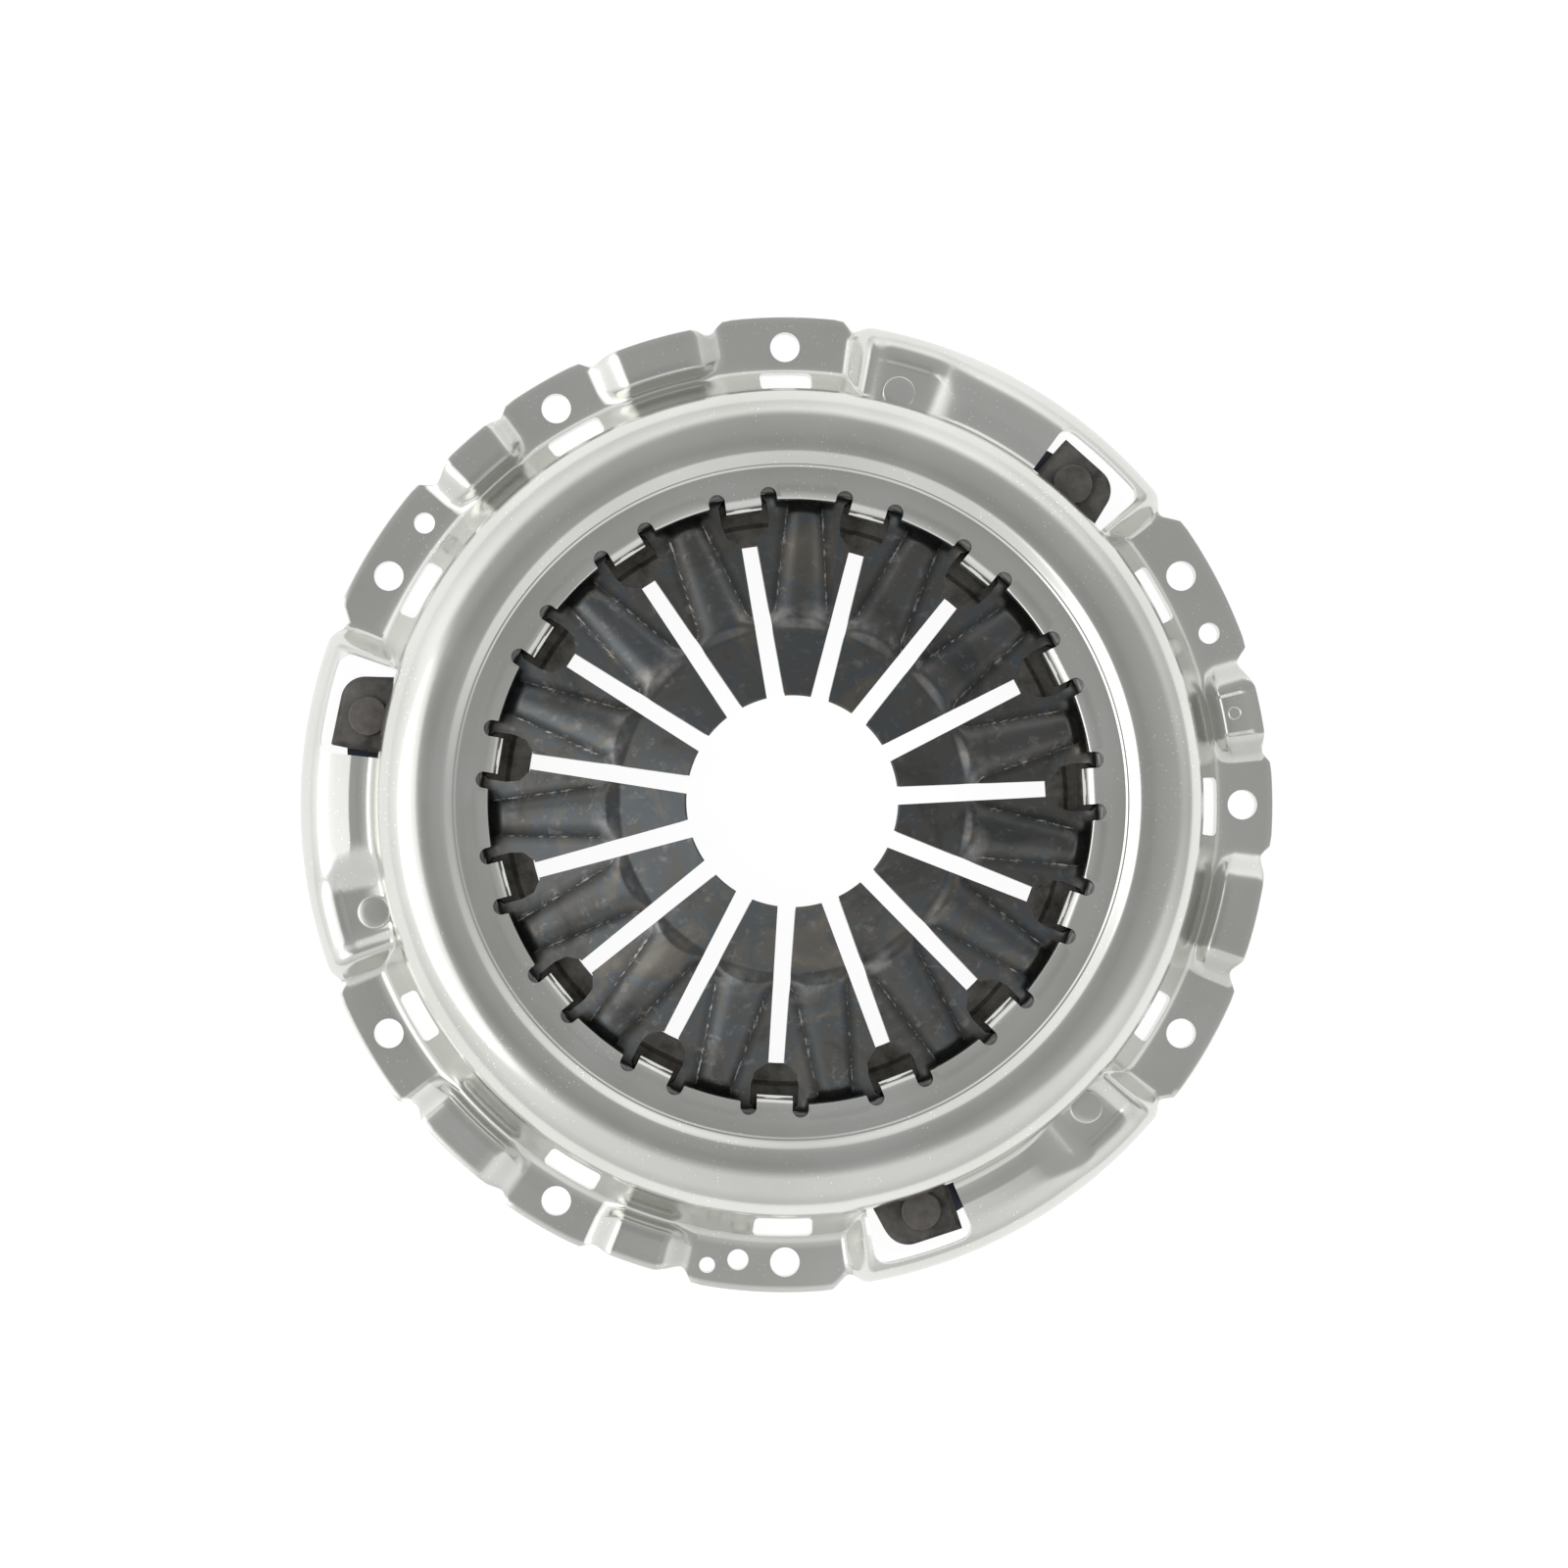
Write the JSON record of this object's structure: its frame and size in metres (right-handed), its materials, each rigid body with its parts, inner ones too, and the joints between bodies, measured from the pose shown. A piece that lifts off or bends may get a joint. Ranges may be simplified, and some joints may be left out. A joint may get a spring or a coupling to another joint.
{
  "type": "clutch pressure plate",
  "caption": "Diaphragm clutch cover assembly: stamped steel cover with tabs that hold a fingered diaphragm spring, and a cast pressure plate hung on riveted drive straps.",
  "frame": {"origin": "centre of the bolt circle on the mounting plane, the underside of the ears", "axes": "+Z along the shaft axis, away from the flywheel to the release bearing; +X through the bolt hole to the right in the picture"},
  "size_m": [0.2797, 0.2806, 0.0395],
  "materials": {
    "cover_steel": "satin",
    "spring_steel": "tempered, semi-gloss",
    "ring_steel": "drawn wire",
    "cast_iron": "as cast, ground friction face",
    "strap_steel": "blued",
    "rivet_steel": "matte"
  },
  "bodies": {
    "cover": {"cover": "cover_steel", "diaphragm_spring": "spring_steel", "upper_fulcrum_ring": "ring_steel", "lower_fulcrum_ring": "ring_steel", "strap_1_leaf_1": "strap_steel", "strap_1_leaf_2": "strap_steel", "strap_1_leaf_3": "strap_steel", "strap_2_leaf_1": "strap_steel", "strap_2_leaf_2": "strap_steel", "strap_2_leaf_3": "strap_steel", "strap_3_leaf_1": "strap_steel", "strap_3_leaf_2": "strap_steel", "strap_3_leaf_3": "strap_steel", "cover_rivet_1": "rivet_steel", "cover_rivet_2": "rivet_steel", "cover_rivet_3": "rivet_steel"},
    "pressure_plate": {"pressure_plate": "cast_iron", "plate_rivet_1": "rivet_steel", "plate_rivet_2": "rivet_steel", "plate_rivet_3": "rivet_steel"}
  },
  "joints": [
    {"name": "plate_lift", "type": "slide", "parent": "cover", "child": "pressure_plate", "axis": [0, 0, 1], "range_m": [0, 0.0032], "stiffness_N_per_m": 20000, "deforming": ["diaphragm_spring", "strap_1_leaf_1", "strap_1_leaf_2", "strap_1_leaf_3", "strap_2_leaf_1", "strap_2_leaf_2", "strap_2_leaf_3", "strap_3_leaf_1", "strap_3_leaf_2", "strap_3_leaf_3"]}
  ]
}
